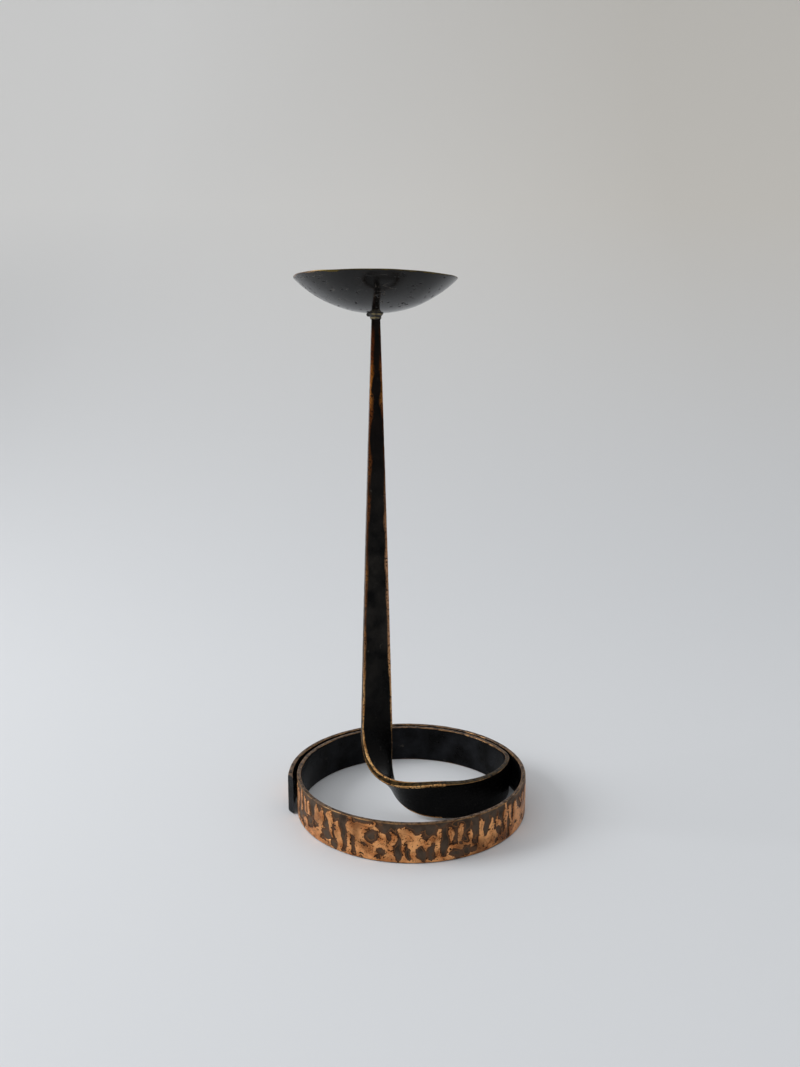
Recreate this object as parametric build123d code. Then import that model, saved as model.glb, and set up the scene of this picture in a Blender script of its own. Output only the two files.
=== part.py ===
from build123d import *
import os
from math import acos, cos, degrees, hypot, radians, sin, sqrt

# Spiral candle holder: one flat bar stands on edge, is wound into a double foot ring, then
# leaves the ring, leans over, curls up and tapers into the stem that carries a drip bowl.
# Millimetres, +Z up, the foot stands on Z = 0.

# Flat bar in the foot
BAR_WIDTH = 20.0
BAR_THICKNESS = 2.5
EDGE_ROUNDING = 0.7

# Foot rings, seen from above: the bar runs clockwise and inwards from its free outer end
FOOT_RADIUS = 63.0
OUTER_END_ANGLE = 191.0
OUTER_END_GAP = 1.8
LEAVING_GAP = 1.1
LEAVING_ANGLE = 22.0
END_STRAIGHT = 7.0
SCARF_LENGTH = 4.5
SCARF_TOE = 0.5
ARC_SIZE = 30.0

# Inner loop: a side bend, then the leaning front, then the curl up into the stem
SIDE_RADIUS = 16.5
SIDE_BEND = 40.0
FRONT_LENGTH = 47.3
FRONT_BEND = 66.5
FRONT_LEAN = 7.6
FRONT_WIDTH = 19.7
FRONT_THICKNESS = 4.3
CURL_LENGTH = 62.0

# Stem: drawn out to a slim neck
STEM_BASE_WIDTH = 16.9
STEM_BASE_THICKNESS = 3.3
STEM_BASE_FACING = 24.7
STEM_TOP_WIDTH = 4.3
STEM_TOP_THICKNESS = 4.0
STEM_TOP_FACING = 5.2
STEM_TOP_HEIGHT = 251.7
STEM_TOP_SHIFT = 0.5

# Drip bowl: a spherical pan with a flat seat pressed in its middle
RIM_RADIUS = 39.3
BOWL_DEPTH = 15.9
BOWL_WALL = 1.2
RIM_ROUNDING = 0.4
SEAT_MARGIN = 0.6

# Pricket: the spike that holds the candle, with a collar in the bowl and a tail in the stem
PRICKET_RADIUS = 2.0
PRICKET_SHANK = 8.5
PRICKET_POINT = 7.0
PRICKET_TIP_RADIUS = 0.3
COLLAR_RADIUS = 4.5
COLLAR_HEIGHT = 1.4
TAIL_RADIUS = 1.1
TAIL_DEPTH = 6.0
TAIL_CLEARANCE = 0.05
TAIL_END_GAP = 0.5

# Braze bead between the neck and the bowl, with the spur that ran out to its left
BEAD_HEIGHT = 3.2
BEAD_LOWER_WALL = 0.25
BEAD_UPPER_WALL = 1.3
SPUR_RADIUS = 0.85
SPUR_REACH = 4.4

# Steps of the lofted stretches
FRONT_STEPS = 12
CURL_STEPS = 16
STEM_STEPS = 10


def section(frame, width, thickness):
    """Rounded flat-bar section: the frame's X is the bar's outer side, its Y the upper edge."""
    return frame * RectangleRounded(thickness, width, EDGE_ROUNDING)


def advance(frame, length, turn):
    """The frame after a short length of bar that turns steadily about the vector turn, in degrees."""
    axis = Axis((0, 0, 0), turn)
    angle = turn.length
    heading = frame.z_dir.rotate(axis, angle / 2)
    return Plane(
        frame.origin + heading * length,
        x_dir=frame.x_dir.rotate(axis, angle),
        z_dir=frame.z_dir.rotate(axis, angle),
    )


def turn_between(first, second):
    """The one rotation, as axis times degrees, that carries the first frame's directions to the second's."""
    pairs = [(first.x_dir, second.x_dir), (first.y_dir, second.y_dir), (first.z_dir, second.z_dir)]
    axis = sum((a.cross(b) for a, b in pairs), Vector())
    trace = sum(a.dot(b) for a, b in pairs)
    return axis.normalized() * degrees(acos((trace - 1) / 2))


def stem_frame(origin, facing):
    """A frame that climbs straight up, with the bar's upper edge to the left, turned by facing."""
    left = Vector(-cos(radians(facing)), -sin(radians(facing)), 0)
    return Plane(origin, x_dir=left.cross(Vector(0, 0, 1)), z_dir=(0, 0, 1))


def between(start, end, share):
    return start + (end - start) * share


def ease(share):
    """A share that starts and stops gently, so that the curl tightens and opens without a kink."""
    return share * share * (3 - 2 * share)


# Foot path: tangent arcs whose radius falls so that the second turn clears the first
start_radius = FOOT_RADIUS - BAR_THICKNESS / 2
start_angle = radians(OUTER_END_ANGLE)
start_point = Vector(start_radius * cos(start_angle), start_radius * sin(start_angle), BAR_WIDTH / 2)
start_heading = Vector(sin(start_angle), -cos(start_angle), 0)
first_fall = BAR_THICKNESS + OUTER_END_GAP
second_turn = OUTER_END_ANGLE - LEAVING_ANGLE
second_fall = first_fall * second_turn / 360 - (OUTER_END_GAP - LEAVING_GAP)
bends = []
for angle, radius, fall in (
    (360.0, start_radius, first_fall),
    (second_turn, start_radius - first_fall, second_fall),
):
    arcs = round(angle / ARC_SIZE)
    for i in range(arcs):
        bends.append((radius - fall * (i + 0.5) / arcs, angle / arcs))
bends.append((SIDE_RADIUS, SIDE_BEND))

path = []
point = start_point
heading = start_heading
for radius, angle in bends:
    arc = JernArc(point, heading, radius, -angle)
    path.append(arc)
    point = arc @ 1
    heading = arc % 1

# The free outer end is straight for a short length, and the sweep starts behind it
path[0] = path[0].trim(END_STRAIGHT / path[0].length, 1)
root_heading = path[0] % 0
root = Plane(path[0] @ 0, x_dir=root_heading.cross(Vector(0, 0, -1)), z_dir=root_heading)
foot = sweep(section(root, BAR_WIDTH, BAR_THICKNESS), path=Wire(path))

# Its end face is oblique, so the inner side runs further than the outer side
slant = root.x_dir * BAR_THICKNESS + root.z_dir * SCARF_LENGTH
scarf_centre = root.origin - root.z_dir * (END_STRAIGHT - SCARF_TOE - SCARF_LENGTH / 2)
scarf_plane = Plane(scarf_centre, x_dir=slant, z_dir=slant.cross(root.y_dir))
scarf = scarf_plane * RectangleRounded(slant.length, BAR_WIDTH, EDGE_ROUNDING)
foot += loft([scarf, section(root, BAR_WIDTH, BAR_THICKNESS)], ruled=True)

# Leaning front of the inner loop and the curl, as one loft
frame = Plane(point, x_dir=heading.cross(Vector(0, 0, -1)), z_dir=heading)
sections = [section(frame, BAR_WIDTH, BAR_THICKNESS)]
for i in range(FRONT_STEPS):
    share = (i + 1) / FRONT_STEPS
    turn = frame.y_dir * -FRONT_BEND - frame.z_dir * FRONT_LEAN
    frame = advance(frame, FRONT_LENGTH / FRONT_STEPS, turn / FRONT_STEPS)
    width = between(BAR_WIDTH, FRONT_WIDTH, share)
    sections.append(section(frame, width, between(BAR_THICKNESS, FRONT_THICKNESS, share)))

curl_turn = turn_between(frame, stem_frame((0, 0, 0), STEM_BASE_FACING))
for i in range(CURL_STEPS):
    share = (i + 1) / CURL_STEPS
    frame = advance(frame, CURL_LENGTH / CURL_STEPS, curl_turn * (ease(share) - ease(i / CURL_STEPS)))
    width = between(FRONT_WIDTH, STEM_BASE_WIDTH, share)
    sections.append(section(frame, width, between(FRONT_THICKNESS, STEM_BASE_THICKNESS, share)))
curl = loft(sections)

# Tapering stem, which turns a little as it climbs and drifts to the right
stem_base = frame.origin
stem_top = Vector(stem_base.X + STEM_TOP_SHIFT, stem_base.Y, STEM_TOP_HEIGHT)
sections = sections[-1:]
for i in range(STEM_STEPS):
    share = (i + 1) / STEM_STEPS
    facing = between(STEM_BASE_FACING, STEM_TOP_FACING, share)
    frame = stem_frame(between(stem_base, stem_top, share), facing)
    width = between(STEM_BASE_WIDTH, STEM_TOP_WIDTH, share)
    sections.append(section(frame, width, between(STEM_BASE_THICKNESS, STEM_TOP_THICKNESS, share)))
stem = loft(sections)

# Blind socket in the neck for the pricket's tail
socket_depth = TAIL_DEPTH + TAIL_END_GAP
upwards = (Align.CENTER, Align.CENTER, Align.MIN)
downwards = (Align.CENTER, Align.CENTER, Align.MAX)
socket = Pos(*stem_top) * Cylinder(TAIL_RADIUS + TAIL_CLEARANCE, socket_depth, align=downwards)
spiral_bar = foot + curl + stem - socket

# Braze bead: a flared ring round the neck, seated under the bowl
neck_radius = hypot(STEM_TOP_WIDTH, STEM_TOP_THICKNESS) / 2 - EDGE_ROUNDING * (sqrt(2) - 1)
bead_radius = neck_radius + BEAD_UPPER_WALL
ring = Cone(neck_radius + BEAD_LOWER_WALL, bead_radius, BEAD_HEIGHT, align=downwards)
spur_line = Plane((0, 0, -SPUR_RADIUS), z_dir=(-1, 0, 0))
spur = spur_line * Cylinder(SPUR_RADIUS, SPUR_REACH - SPUR_RADIUS, align=upwards)
spur += Pos(-(SPUR_REACH - SPUR_RADIUS), 0, -SPUR_RADIUS) * Sphere(SPUR_RADIUS)
braze_bead = Pos(*stem_top) * (ring + spur) - spiral_bar - socket

# Drip bowl: outer and inner spheres share a centre, and a flat seat is left in the middle
seat_radius = max(bead_radius, COLLAR_RADIUS) + SEAT_MARGIN
centre_height = (RIM_RADIUS**2 + BOWL_DEPTH**2 - seat_radius**2) / (2 * BOWL_DEPTH)
outer_radius = hypot(seat_radius, centre_height)
slab = Cylinder(2 * RIM_RADIUS, BOWL_DEPTH, align=upwards)
hollow = Pos(0, 0, centre_height) * Sphere(outer_radius - BOWL_WALL)
hollow &= Pos(0, 0, BOWL_WALL) * slab
bowl = (Pos(0, 0, centre_height) * Sphere(outer_radius)) & slab
bowl -= hollow
bowl = fillet(bowl.edges().group_by(Axis.Z)[-1], RIM_ROUNDING)
bowl -= Cylinder(TAIL_RADIUS + TAIL_CLEARANCE, 4 * BOWL_WALL)
drip_bowl = Pos(*stem_top) * bowl

# Pricket: tail, collar, shank and point
spike = Cylinder(TAIL_RADIUS, TAIL_DEPTH + BOWL_WALL, align=downwards)
spike += Cylinder(COLLAR_RADIUS, COLLAR_HEIGHT, align=upwards)
spike += Pos(0, 0, COLLAR_HEIGHT) * Cylinder(PRICKET_RADIUS, PRICKET_SHANK, align=upwards)
point_base = COLLAR_HEIGHT + PRICKET_SHANK
spike += Pos(0, 0, point_base) * Cone(PRICKET_RADIUS, PRICKET_TIP_RADIUS, PRICKET_POINT, align=upwards)
pricket = Pos(stem_top.X, stem_top.Y, stem_top.Z + BOWL_WALL) * spike

# The origin is the middle of the foot's outline, on the table
outline = spiral_bar.bounding_box().center()
to_origin = Pos(-outline.X, -outline.Y, 0)
nodes = {
    "spiral_bar": spiral_bar,
    "drip_bowl": drip_bowl,
    "pricket": pricket,
    "braze_bead": braze_bead,
}
os.makedirs("parts", exist_ok=True)
for name, shape in nodes.items():
    export_step(to_origin * shape, f"parts/{name}.step")
print("stem axis at", round(stem_top.X - outline.X, 4), round(stem_top.Y - outline.Y, 4))
print("spiral centre at", round(-outline.X, 4), round(-outline.Y, 4))
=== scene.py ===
# %% [markdown]
# # Spiral candle holder
# A smith wound one flat copper bar into a double ring that stands on edge, let its end lean over,
# curled it upwards and drew it out into a slim stem. A shallow bowl is brazed on top, with a spike
# for the candle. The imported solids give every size, so the first step loads them as a fixed frame.
# Each later step replaces one solid with a piece that has the real surface.

# %% Load the frame
from collections import namedtuple
from math import acos, asin, atan2, cos, hypot, pi, radians, sin

import bmesh
import bpy
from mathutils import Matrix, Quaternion, Vector, noise


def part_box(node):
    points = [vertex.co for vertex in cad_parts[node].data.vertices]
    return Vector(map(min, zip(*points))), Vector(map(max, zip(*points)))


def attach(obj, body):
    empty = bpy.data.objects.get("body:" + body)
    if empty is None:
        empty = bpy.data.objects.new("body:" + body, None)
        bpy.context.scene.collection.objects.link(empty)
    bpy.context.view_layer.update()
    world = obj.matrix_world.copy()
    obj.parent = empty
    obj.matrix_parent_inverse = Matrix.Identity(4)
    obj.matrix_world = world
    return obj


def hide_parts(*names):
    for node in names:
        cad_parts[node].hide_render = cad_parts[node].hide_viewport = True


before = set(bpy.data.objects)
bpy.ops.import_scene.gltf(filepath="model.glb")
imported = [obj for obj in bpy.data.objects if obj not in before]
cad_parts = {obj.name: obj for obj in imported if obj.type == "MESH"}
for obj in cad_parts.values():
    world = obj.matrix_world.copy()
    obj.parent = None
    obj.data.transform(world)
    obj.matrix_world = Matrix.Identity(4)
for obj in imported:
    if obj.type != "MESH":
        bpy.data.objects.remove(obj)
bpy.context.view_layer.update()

scene = bpy.context.scene
print("solids:", sorted(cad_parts))

# %% [markdown]
# ## Two small helpers
# Colours are written as hex values, as one picks them on a screen. Blender's shaders count in
# linear light, so one function converts them. The second function adds a node to any node tree and
# fills its inputs. It hands back an output socket, so that the next node can link to it straight away.

# %% Helpers
MM = 0.001


def linear(code):
    """An sRGB hex colour as linear RGBA."""
    shares = [int(code[i:i + 2], 16) / 255 for i in (1, 3, 5)]
    return [s / 12.92 if s <= 0.04045 else ((s + 0.055) / 1.055) ** 2.4 for s in shares] + [1.0]


def add(tree, kind, inputs=(), out=None, **settings):
    """Adds a node and hands back one of its outputs, the first one in use unless another is named.

    The inputs are given by name, or as a row in the order in which the node shows them: a Map Range
    has its value, two levels to map from and two values to map to, and a Mix has its factor, A and B.
    Each of them is a socket to link, a hex colour or a plain value.
    """
    node = tree.nodes.new(kind)
    for name, value in settings.items():
        setattr(node, name, value)
    shown = [socket for socket in node.inputs if socket.enabled]
    if isinstance(inputs, dict):
        named = {socket.name: socket for socket in shown}
        filled = [(named[name], value) for name, value in inputs.items()]
    else:
        filled = zip(shown, inputs)
    for socket, value in filled:
        if isinstance(value, bpy.types.NodeSocket):
            tree.links.new(value, socket)
        elif isinstance(value, str) and value.startswith("#"):
            socket.default_value = linear(value)
        else:
            socket.default_value = value
    if out is not None:
        return node.outputs[out]
    return next((socket for socket in node.outputs if socket.enabled), None)


print("a mid grey of #808080 is", round(linear("#808080")[0], 3), "in linear light")

# %% [markdown]
# ## The line of the bar
# The bar could be drawn as a Bezier curve by eye. A smith bends it in a few plain moves instead: a
# ring whose radius shrinks so that the second turn clears the first, a tight bend to the side, a
# front that leans, a curl, and a straight stem. Walking along those moves in short steps keeps the
# line and the roll of the bar exact. Each step turns a frame of three directions: along the bar,
# towards its outer side, and towards its upper edge. All sizes are millimetres.

# %% Sizes of the bar
BAR_WIDTH, BAR_THICKNESS, EDGE_ROUNDING = 20.0, 2.5, 0.7
FOOT_RADIUS, END_ANGLE, END_GAP, LEAVING_GAP, LEAVING_ANGLE = 63.0, 191.0, 1.8, 1.1, 22.0
SIDE_RADIUS, SIDE_BEND = 16.5, 40.0
FRONT_LENGTH, FRONT_BEND, FRONT_LEAN, FRONT_WIDTH, FRONT_THICKNESS = 47.3, 66.5, 7.6, 19.7, 4.3
CURL_LENGTH = 62.0
STEM_BASE_WIDTH, STEM_BASE_THICKNESS, STEM_BASE_FACING = 16.9, 3.3, 24.7
STEM_TOP_WIDTH, STEM_TOP_THICKNESS, STEM_TOP_FACING = 4.3, 4.0, 5.2
# The frame starts at the middle of the foot's outline, a little off the centre of the ring's arcs.
RING_CENTRE = Vector((1.203, -1.731, 0.0))
UP = Vector((0.0, 0.0, 1.0))
bowl_low, bowl_high = (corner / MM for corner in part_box("drip_bowl"))
bowl_axis = (bowl_low + bowl_high) / 2
bowl_foot = Vector((bowl_axis.x, bowl_axis.y, bowl_low.z))
print("bowl axis, mm:", [round(v, 2) for v in bowl_axis.xy])

# %% Step along the bar
# The worked side of a station carries the relief, and its wear says how far in its edges are rubbed.
Station = namedtuple("Station", "centre outer upper width thickness along worked wear")
stations = []


def turned(direction, turn):
    """A direction after a turn, given as its axis times its radians."""
    if turn.length == 0:
        return direction.copy()
    return Quaternion(turn.normalized(), turn.length) @ direction


def note(bar, size, worked, wear):
    """Stores one station: place, directions, section size, and how worked and worn it is."""
    centre, outer = bar["centre"].copy(), bar["outer"].copy()
    upper = bar["tangent"].cross(outer)
    stations.append(Station(centre, outer, upper, *size, bar["along"], worked, wear))


def lay(bar, length, step, turning, sizes, wear, worked=0.0):
    """Lays a length of bar in short steps and notes a station after each of them."""
    steps = max(1, round(length / step))
    for i in range(steps):
        first, last = i / steps, (i + 1) / steps
        turn = turning(bar, first, last)
        bar["centre"] = bar["centre"] + turned(bar["tangent"], turn / 2) * (length / steps)
        bar["tangent"] = turned(bar["tangent"], turn)
        bar["outer"] = turned(bar["outer"], turn)
        bar["along"] += length / steps
        note(bar, [a + (b - a) * last for a, b in zip(*sizes)], worked, wear)


def steady(turn):
    """A turning that is spread evenly over its length of bar."""
    return lambda _, first, last: turn * (last - first)


start_radius = FOOT_RADIUS - BAR_THICKNESS / 2
start_angle = radians(END_ANGLE)
start_tangent = Vector((sin(start_angle), -cos(start_angle), 0.0))
bar = {
    "centre": Vector((start_radius * cos(start_angle), start_radius * sin(start_angle), BAR_WIDTH / 2)),
    "tangent": start_tangent,
    "outer": start_tangent.cross(-UP),
    "along": 0.0,
}
print("the bar starts at", [round(v, 1) for v in bar["centre"] + RING_CENTRE], "mm")

# %% Wind the ring
ARC_SIZE, FINE_STEP, COARSE_STEP = 30.0, 0.6, 1.4
END_WEAR, RING_WEAR = 0.4, 0.55
foot_size = (BAR_WIDTH, BAR_THICKNESS)
note(bar, foot_size, 0.0, END_WEAR)
first_fall = BAR_THICKNESS + END_GAP
second_turn = END_ANGLE - LEAVING_ANGLE
second_fall = first_fall * second_turn / 360 - (END_GAP - LEAVING_GAP)
for angle, radius, fall, step, worked in (
    (360.0, start_radius, first_fall, FINE_STEP, 1.0),
    (second_turn, start_radius - first_fall, second_fall, COARSE_STEP, 0.0),
):
    arcs = round(angle / ARC_SIZE)
    arc = radians(angle / arcs)
    for i in range(arcs):
        length = (radius - fall * (i + 0.5) / arcs) * arc
        lay(bar, length, step, steady(-UP * arc), (foot_size, foot_size), RING_WEAR, worked)
ring_length = bar["along"]
print("ring of", round(ring_length), "mm in", len(stations), "stations")

# %% Bend the inner loop and curl it up
BEND_STEP, CURL_STEP = 1.0, 0.9
SIDE_WEAR, FRONT_WEAR, CURL_WEAR = 0.6, 0.35, 1.1


def frame_of_stem(facing):
    """Outer side and upper edge of the rising stem, turned by its facing in degrees."""
    upper = Vector((-cos(radians(facing)), -sin(radians(facing)), 0.0))
    return upper.cross(UP), upper


def lean(bar, first, last):
    """The front bends round its own upper edge while it leans about its own length."""
    upper = bar["tangent"].cross(bar["outer"])
    return (upper * -radians(FRONT_BEND) - bar["tangent"] * radians(FRONT_LEAN)) * (last - first)


def gentle(turn):
    """A turning that starts and stops gently."""
    def ease(share):
        return share * share * (3 - 2 * share)
    return lambda _, first, last: turn * (ease(last) - ease(first))


bend = radians(SIDE_BEND)
front_size = (FRONT_WIDTH, FRONT_THICKNESS)
base_size = (STEM_BASE_WIDTH, STEM_BASE_THICKNESS)
lay(bar, SIDE_RADIUS * bend, BEND_STEP, steady(-UP * bend), (foot_size, foot_size), SIDE_WEAR)
lay(bar, FRONT_LENGTH, BEND_STEP, lean, (foot_size, front_size), FRONT_WEAR)
curl_start = bar["along"]
base_outer, base_upper = frame_of_stem(STEM_BASE_FACING)
pairs = (
    (bar["outer"], base_outer),
    (bar["tangent"].cross(bar["outer"]), base_upper),
    (bar["tangent"], UP),
)
axis = sum((now.cross(goal) for now, goal in pairs), Vector((0.0, 0.0, 0.0)))
curl = axis.normalized() * acos((sum(now.dot(goal) for now, goal in pairs) - 1) / 2)
lay(bar, CURL_LENGTH, CURL_STEP, gentle(curl), (front_size, base_size), CURL_WEAR)
curl_end = bar["along"]
print("curl of", round(curl.length * 180 / pi), "degrees, from", round(curl_start), "to", round(curl_end))

# %% Raise the stem
STEM_WEAR, NECK_WEAR = 1.1, 1.7
stem_base = bar["centre"].copy()
stem_top = bowl_foot - RING_CENTRE
stem_length = (stem_top - stem_base).length
stem_steps = round(stem_length / COARSE_STEP)
bar["tangent"] = UP
for i in range(stem_steps):
    share = (i + 1) / stem_steps
    bar["centre"] = stem_base.lerp(stem_top, share)
    bar["outer"] = frame_of_stem(STEM_BASE_FACING + (STEM_TOP_FACING - STEM_BASE_FACING) * share)[0]
    bar["along"] += stem_length / stem_steps
    width = STEM_BASE_WIDTH + (STEM_TOP_WIDTH - STEM_BASE_WIDTH) * share
    thickness = STEM_BASE_THICKNESS + (STEM_TOP_THICKNESS - STEM_BASE_THICKNESS) * share
    upper_half = max(0.0, 2 * share - 1)
    note(bar, (width, thickness), 0.0, STEM_WEAR + (NECK_WEAR - STEM_WEAR) * upper_half)
bar_length = bar["along"]
drift = (stem_top - stem_base).xy.length
print("bar of", round(bar_length), "mm in", len(stations), "stations; the stem drifts", round(drift, 2), "mm")

# %% [markdown]
# ## The relief of the foot
# The outer side of the ring was etched: plateaus kept their copper skin and the acid ate the rest.
# The design here is free and comes from noise: stretches of upright bars alternate with stretches of
# round holes. One function adds the same nodes to the Geometry Nodes tree, which sinks the surface,
# and to the material, which colours it. Both read the same millimetres along and across the bar, so
# the colour lies exactly on the plateaus.

# %% Relief pattern
BAR_PITCH, BAR_STRENGTH, BAR_BREAK = 5.4, 0.2, (6.0, 10.0)
HOLE_PITCH, HOLE_SOFTNESS, HOLE_SLOPE, HOLE_LEVELS = 6.5, 0.3, 0.65, (0.08, 0.5)
STRETCH, STRETCH_BORDER = 17.0, (0.44, 0.54)
SWAY_SIZE, SWAY_REACH = 8.0, 3.2
NIBBLE_SIZE, NIBBLE_STRENGTH = 0.9, 0.16
# A plain strip along the lower edge rises, and an etched band along the upper edge falls.
LOWER_STRIP, UPPER_BAND = (-8.0, -9.2, 0.0, 0.3), (5.5, 8.5, 0.0, -0.28)
FIELD_LEVEL = 0.1


def blotches(tree, point, size, detail, levels):
    """Soft blotches of a size in millimetres: noise, cut by the levels and values of a Map Range."""
    raw = add(tree, "ShaderNodeTexNoise", {"Vector": point, "Scale": 1 / size, "Detail": detail})
    return add(tree, "ShaderNodeMapRange", (raw, *levels))


def relief_field(tree, point):
    """A field over the bar's outer side, in millimetres of bar: plateaus are above one half."""
    flat = add(tree, "ShaderNodeVectorMath", (point, (1, 1, 0)), operation="MULTIPLY")
    sway = add(tree, "ShaderNodeTexNoise", {"Vector": flat, "Scale": 1 / SWAY_SIZE, "Detail": 1.0}, "Color")
    sway = add(tree, "ShaderNodeVectorMath", (sway, (0.5, 0.5, 0.5)), operation="SUBTRACT")
    sway = add(tree, "ShaderNodeVectorMath", (sway, 2 * SWAY_REACH), operation="SCALE")
    swayed = add(tree, "ShaderNodeVectorMath", (flat, sway), operation="ADD")
    along, across = add(tree, "ShaderNodeSeparateXYZ", (swayed,)).node.outputs[:2]

    turn = add(tree, "ShaderNodeMath", (along, 2 * pi / BAR_PITCH), operation="MULTIPLY")
    bars = add(tree, "ShaderNodeMath", (turn,), operation="SINE")
    breaks = add(tree, "ShaderNodeVectorMath", (flat, (*BAR_BREAK, 1)), operation="DIVIDE")
    breaks = add(tree, "ShaderNodeTexNoise", {"Vector": breaks, "Scale": 1.0, "Detail": 0.5})
    bars = add(tree, "ShaderNodeMath", (bars, BAR_STRENGTH, breaks), operation="MULTIPLY_ADD")

    holes = {"Vector": swayed, "Scale": 1 / HOLE_PITCH, "Smoothness": HOLE_SOFTNESS}
    holes = add(tree, "ShaderNodeTexVoronoi", holes, voronoi_dimensions="2D", feature="SMOOTH_F1")
    chance = add(tree, "ShaderNodeSeparateXYZ", (holes.node.outputs["Color"],))
    chance = add(tree, "ShaderNodeMapRange", (chance, 0.0, 1.0, *HOLE_LEVELS))
    holes = add(tree, "ShaderNodeMath", (holes, HOLE_SLOPE, chance), operation="MULTIPLY_ADD")

    stretch = blotches(tree, flat, STRETCH, 0.0, STRETCH_BORDER)
    field = add(tree, "ShaderNodeMix", (stretch, bars, holes), data_type="FLOAT")
    nibbles = add(tree, "ShaderNodeTexNoise", {"Vector": flat, "Scale": 1 / NIBBLE_SIZE, "Detail": 2.0})
    field = add(tree, "ShaderNodeMath", (nibbles, NIBBLE_STRENGTH, field), operation="MULTIPLY_ADD")
    for row in (LOWER_STRIP, UPPER_BAND):
        margin = add(tree, "ShaderNodeMapRange", (across, *row))
        field = add(tree, "ShaderNodeMath", (field, margin), operation="ADD")
    return add(tree, "ShaderNodeMath", (field, FIELD_LEVEL), operation="SUBTRACT")


print("bars every", BAR_PITCH, "mm, holes every", HOLE_PITCH, "mm, in stretches of", STRETCH, "mm")

# %% [markdown]
# ## Finish of the bar: black patina over copper
# The copper was blackened with a sulphur patina and then rubbed back. The patina is a thin dark
# skin that shines like lacquer; where it is rubbed off, on the plateaus and along the edges, bare
# copper shows, browned by age. Two materials could be painted face by face, but the border would
# follow the mesh. One material with masks gives borders as fine as the pixels.

# %% Where a point lies on the bar


def new_finish(name):
    """A new material with a node tree."""
    finish = bpy.data.materials.new(name)
    finish.use_nodes = True
    return finish


# Copper under a sulphur patina: to the eye a deep black that glints at its rubbed, warm edges.
bar_finish = new_finish("black_patina_on_copper")
tree = bar_finish.node_tree
point = add(tree, "ShaderNodeAttribute", out="Vector", attribute_name="bar_point")
edge, corner, end_face, zone, wear = (
    add(tree, "ShaderNodeAttribute", out="Fac", attribute_name=name)
    for name in ("edge", "corner", "end_face", "relief_zone", "wear")
)
# The cut end faces are black too, so they count as far from any edge.
edge, corner = (
    add(tree, "ShaderNodeMath", (end_face, BAR_WIDTH, distance), operation="MULTIPLY_ADD")
    for distance in (edge, corner)
)
along, across = add(tree, "ShaderNodeSeparateXYZ", (point,)).node.outputs[:2]
field = relief_field(tree, point)
print("masks of the bar:", [n.attribute_name for n in tree.nodes if n.bl_idname == "ShaderNodeAttribute"])

# %% Masks for the stretches of the bar, and from noise
TEMPER_LENGTH = 80.0
# Each stretch has the millimetres along the bar where its mask starts and is full, and its values there.
STRETCHES = {
    "loop": (ring_length - 10, ring_length + 15, 0.0, 1.0),
    "curl": (curl_start - 25, curl_start + 5, 0.0, 1.0),
    "stem": (curl_end - 10, curl_end + 50, 0.0, 1.0),
    "top": (bar_length - 120, bar_length - 60, 0.0, 1.0),
    "neck": (bar_length - 75, bar_length - 8, 0.0, 0.85),
    "temper": (bar_length - TEMPER_LENGTH, bar_length, 0.0, 1.0),
}
on = {name: add(tree, "ShaderNodeMapRange", (along, *row)) for name, row in STRETCHES.items()}
# Each noise has its size in millimetres and its detail, then its levels and values.
NOISES = {
    "patch": (5.0, 4.0, (0.4, 0.66, 0.0, 1.0)),
    "tarnish": (12.0, 3.0, (0.5, 0.68, 0.0, 0.75)),
    "cloud": (9.0, 5.0, (0.35, 0.7, 0.0, 1.0)),
    "spots": (4.0, 3.0, (0.7, 0.78, 0.0, 0.35)),
    "mottle": (1.8, 3.0, (0.42, 0.6, 0.0, 1.0)),
    "specks": (0.9, 2.0, (0.54, 0.6, 1.0, 0.1)),
}
mask = {name: blotches(tree, point, *row) for name, row in NOISES.items()}
print("stretches:", list(on), "and noises:", list(mask))

# %% Masks that follow the relief
ENGRAVED_LEVELS, ENGRAVED_WIDTH = {"ridge": 0.34, "groove": 0.7}, (0.01, 0.035, 0.8, 0.0)
PLATEAU, PIT_SIZE, PIT_LEVELS = (0.48, 0.52), 1.1, (0.64, 0.68)
# Each mask has the levels of the relief field where it starts and ends, and its values there.
RELIEF = {
    "halo": (0.5, 0.64, 0.8, 0.0),
    "border": (0.52, 0.68, 0.1, 0.0),
    "glow": (0.28, 0.5, 0.0, 0.75),
    "outline": (0.42, 0.47, 0.0, 0.9),
}


def line_at(tree, pattern, level, width):
    """A thin line where a pattern passes a level; its width is the levels and values of a Map Range."""
    away = add(tree, "ShaderNodeMath", (pattern, level), operation="SUBTRACT")
    away = add(tree, "ShaderNodeMath", (away,), operation="ABSOLUTE")
    return add(tree, "ShaderNodeMapRange", (away, *width))


relief = {name: add(tree, "ShaderNodeMapRange", (field, *row)) for name, row in RELIEF.items()}
relief |= {name: line_at(tree, field, level, ENGRAVED_WIDTH) for name, level in ENGRAVED_LEVELS.items()}
for name in ("halo", "outline", *ENGRAVED_LEVELS):
    relief[name] = add(tree, "ShaderNodeMath", (relief[name], mask["patch"]), operation="MULTIPLY")
plateau = add(tree, "ShaderNodeMapRange", (field, *PLATEAU), interpolation_type="SMOOTHSTEP")
raised = add(tree, "ShaderNodeMath", (plateau, zone), operation="MULTIPLY")
pits = add(tree, "ShaderNodeTexNoise", {"Vector": point, "Scale": 1 / PIT_SIZE, "Detail": 2.0})
pits = add(tree, "ShaderNodeMath", (pits, relief["border"]), operation="ADD")
pits = add(tree, "ShaderNodeMapRange", (pits, *PIT_LEVELS))
print("masks on the relief:", list(relief), "and pits of", PIT_SIZE, "mm")

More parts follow.
